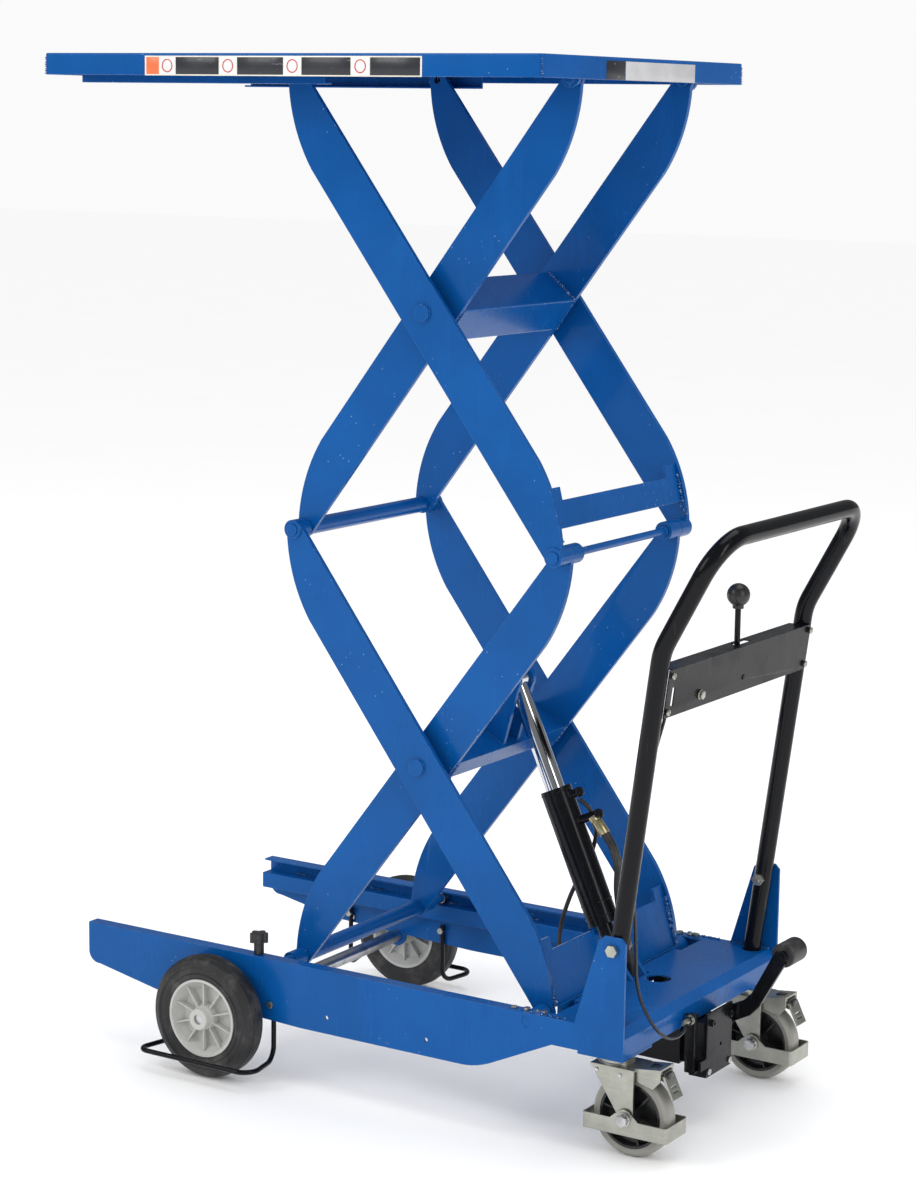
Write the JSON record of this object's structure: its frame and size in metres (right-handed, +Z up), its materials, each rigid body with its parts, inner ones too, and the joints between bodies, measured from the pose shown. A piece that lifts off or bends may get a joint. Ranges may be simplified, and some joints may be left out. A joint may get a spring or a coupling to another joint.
{
  "type": "scissor lift table",
  "caption": "Mobile hand-hydraulic double scissor lift table, raised, with steel platform, push handle, foot pump, load wheels and braked swivel casters.",
  "frame": {"origin": "on the floor under the middle of the raised table, guards and handle included", "axes": "+X towards the push handle, +Y towards the side of the foot pedal, +Z up; left means the -Y side"},
  "size_m": [1.175, 0.668, 1.601],
  "materials": {
    "blue_paint": "glossy mid blue stove enamel with light orange-peel",
    "black_paint": "black powder coat",
    "steel": "turned steel",
    "zinc": "bright zinc plate",
    "chrome": "hard chrome, polished",
    "black_plastic": "moulded black plastic",
    "black_nylon": "black nylon",
    "black_rubber": "matte black rubber",
    "tyre": "solid black rubber",
    "grey_plastic": "light grey moulded plastic",
    "grey_rubber": "grey elastic rubber"
  },
  "bodies": {
    "base": {"side_rail_left": "blue_paint", "side_rail_right": "blue_paint", "roller_track_left": "blue_paint", "roller_track_right": "blue_paint", "deck_plate": "blue_paint", "frame_brackets": "blue_paint", "wheel_axle": "steel", "frame_pins": "blue_paint", "frame_bolts": "zinc", "wheel_guard_left": "black_paint", "wheel_guard_right": "black_paint", "handle_frame": "black_paint", "handle_panel": "black_paint", "handle_bolts": "zinc", "pump_body": "black_paint", "pump_plate": "black_paint", "release_cable": "black_rubber"},
    "knob": {"star_knob": "black_plastic"},
    "lever": {"release_lever": "black_paint", "lever_ball": "black_plastic"},
    "release": {"release_arm": "black_paint"},
    "pedal": {"pedal_arm": "black_paint", "pedal_pad": "black_rubber"},
    "lower_outer": {"lower_outer_arm_left": "blue_paint", "lower_outer_arm_right": "blue_paint", "lower_outer_brace": "blue_paint"},
    "lower_inner": {"lower_inner_arm_left": "blue_paint", "lower_inner_arm_right": "blue_paint", "lower_inner_brace": "blue_paint", "lower_roller_shaft": "blue_paint"},
    "upper_inner": {"upper_inner_arm_left": "blue_paint", "upper_inner_arm_right": "blue_paint", "upper_inner_box": "blue_paint", "upper_cross_tube": "blue_paint"},
    "upper_outer": {"upper_outer_arm_left": "blue_paint", "upper_outer_arm_right": "blue_paint", "upper_outer_brace": "blue_paint", "joint_rod": "blue_paint"},
    "platform": {"platform_top": "blue_paint", "platform_tracks": "blue_paint", "platform_hinges": "blue_paint"},
    "barrel": {"cylinder_barrel": "black_paint", "hydraulic_hoses": "black_rubber"},
    "rod": {"cylinder_rod": "chrome"},
    "lower_roller_left": {"lower_roller_left": "black_nylon"},
    "upper_roller_left": {"upper_roller_left": "black_nylon"},
    "load_wheel_left": {"wheel_tyre_left": "tyre", "wheel_hub_left": "grey_plastic"},
    "caster_left": {"caster_fork_left": "zinc"},
    "caster_wheel_left": {"caster_tread_left": "grey_rubber", "caster_core_left": "black_nylon"},
    "brake_left": {"brake_pedal_left": "zinc"},
    "lower_roller_right": {"lower_roller_right": "black_nylon"},
    "upper_roller_right": {"upper_roller_right": "black_nylon"},
    "load_wheel_right": {"wheel_tyre_right": "tyre", "wheel_hub_right": "grey_plastic"},
    "caster_right": {"caster_fork_right": "zinc"},
    "caster_wheel_right": {"caster_tread_right": "grey_rubber", "caster_core_right": "black_nylon"},
    "brake_right": {"brake_pedal_right": "zinc"}
  },
  "joints": [
    {"name": "lift", "type": "hinge", "parent": "base", "child": "lower_outer", "pos_m": [0.2825, 0, 0.1865], "axis": [0, -1, 0], "range_deg": [0, 45.9]},
    {"name": "lower_cross", "type": "hinge", "parent": "lower_outer", "child": "lower_inner", "pos_m": [0.04815, 0, 0.53263], "axis": [0, -1, 0], "range_deg": [-91.8, 0]},
    {"name": "front_knuckle", "type": "hinge", "parent": "lower_outer", "child": "upper_inner", "pos_m": [-0.18619, 0, 0.87876], "axis": [0, -1, 0], "range_deg": [-91.8, 0]},
    {"name": "upper_cross", "type": "hinge", "parent": "upper_inner", "child": "upper_outer", "pos_m": [0.04815, 0, 1.22489], "axis": [0, -1, 0], "range_deg": [0, 91.8]},
    {"name": "platform_hinge", "type": "hinge", "parent": "upper_inner", "child": "platform", "pos_m": [0.2825, 0, 1.57102], "axis": [0, -1, 0], "range_deg": [0, 45.9]},
    {"name": "cylinder_foot", "type": "hinge", "parent": "base", "child": "barrel", "pos_m": [0.2851, 0, 0.2393], "axis": [0, -1, 0], "range_deg": [0, 54.19]},
    {"name": "cylinder_stroke", "type": "slide", "parent": "barrel", "child": "rod", "axis": [-0.4142, 0, 0.9102], "range_m": [-0.14164, 0]},
    {"name": "lower_roller_spin_left", "type": "hinge", "parent": "lower_inner", "child": "lower_roller_left", "pos_m": [-0.18619, -0.2415, 0.1865], "axis": [0, -1, 0], "continuous": true},
    {"name": "lower_roller_spin_right", "type": "hinge", "parent": "lower_inner", "child": "lower_roller_right", "pos_m": [-0.18619, 0.2415, 0.1865], "axis": [0, -1, 0], "continuous": true},
    {"name": "upper_roller_spin_left", "type": "hinge", "parent": "upper_outer", "child": "upper_roller_left", "pos_m": [-0.18619, -0.212, 1.57102], "axis": [0, -1, 0], "continuous": true},
    {"name": "upper_roller_spin_right", "type": "hinge", "parent": "upper_outer", "child": "upper_roller_right", "pos_m": [-0.18619, 0.212, 1.57102], "axis": [0, -1, 0], "continuous": true},
    {"name": "load_wheel_spin_left", "type": "hinge", "parent": "base", "child": "load_wheel_left", "pos_m": [-0.2855, -0.288, 0.099], "axis": [0, -1, 0], "continuous": true},
    {"name": "load_wheel_spin_right", "type": "hinge", "parent": "base", "child": "load_wheel_right", "pos_m": [-0.2855, 0.288, 0.099], "axis": [0, -1, 0], "continuous": true},
    {"name": "caster_swivel_left", "type": "hinge", "parent": "base", "child": "caster_left", "pos_m": [0.4125, -0.209, 0.139], "axis": [0, 0, 1], "continuous": true},
    {"name": "caster_spin_left", "type": "hinge", "parent": "caster_left", "child": "caster_wheel_left", "pos_m": [0.4445, -0.209, 0.0635], "axis": [0, -1, 0], "continuous": true},
    {"name": "brake_press_left", "type": "hinge", "parent": "caster_left", "child": "brake_left", "pos_m": [0.4885, -0.209, 0.131], "axis": [0, 1, 0], "range_deg": [0, 16]},
    {"name": "caster_swivel_right", "type": "hinge", "parent": "base", "child": "caster_right", "pos_m": [0.4125, 0.209, 0.139], "axis": [0, 0, 1], "continuous": true},
    {"name": "caster_spin_right", "type": "hinge", "parent": "caster_right", "child": "caster_wheel_right", "pos_m": [0.4445, 0.209, 0.0635], "axis": [0, -1, 0], "continuous": true},
    {"name": "brake_press_right", "type": "hinge", "parent": "caster_right", "child": "brake_right", "pos_m": [0.4885, 0.209, 0.131], "axis": [0, 1, 0], "range_deg": [0, 16]},
    {"name": "pump_stroke", "type": "hinge", "parent": "base", "child": "pedal", "pos_m": [0.4635, 0.049, 0.15], "axis": [0, 1, 0], "range_deg": [0, 28], "stiffness_Nm_per_rad": 6, "springref_deg": -20.05},
    {"name": "release_pull", "type": "hinge", "parent": "base", "child": "lever", "pos_m": [0.47768, 0.014, 0.691], "axis": [-1, 0, 0], "range_deg": [0, 12], "stiffness_Nm_per_rad": 1.2, "springref_deg": -14.32},
    {"name": "release_arm_tilt", "type": "hinge", "parent": "base", "child": "release", "pos_m": [0.4585, -0.0535, 0.098], "axis": [1, 0, 0], "range_deg": [0, 3.6]},
    {"name": "knob_turn", "type": "hinge", "parent": "base", "child": "knob", "pos_m": [-0.2205, -0.242, 0.22], "axis": [0, 0, 1], "continuous": true}
  ],
  "couplings": [
    {"joint": "lower_cross", "follows": "lift", "ratio": -2},
    {"joint": "front_knuckle", "follows": "lift", "ratio": -2},
    {"joint": "upper_cross", "follows": "lift", "ratio": 2},
    {"joint": "platform_hinge", "follows": "lift", "ratio": 1},
    {"joint": "cylinder_foot", "follows": "lift", "ratio": 1.1805},
    {"joint": "cylinder_stroke", "follows": "lift", "m_per_rad": -0.17679},
    {"joint": "release_arm_tilt", "follows": "release_pull", "ratio": 0.3}
  ]
}
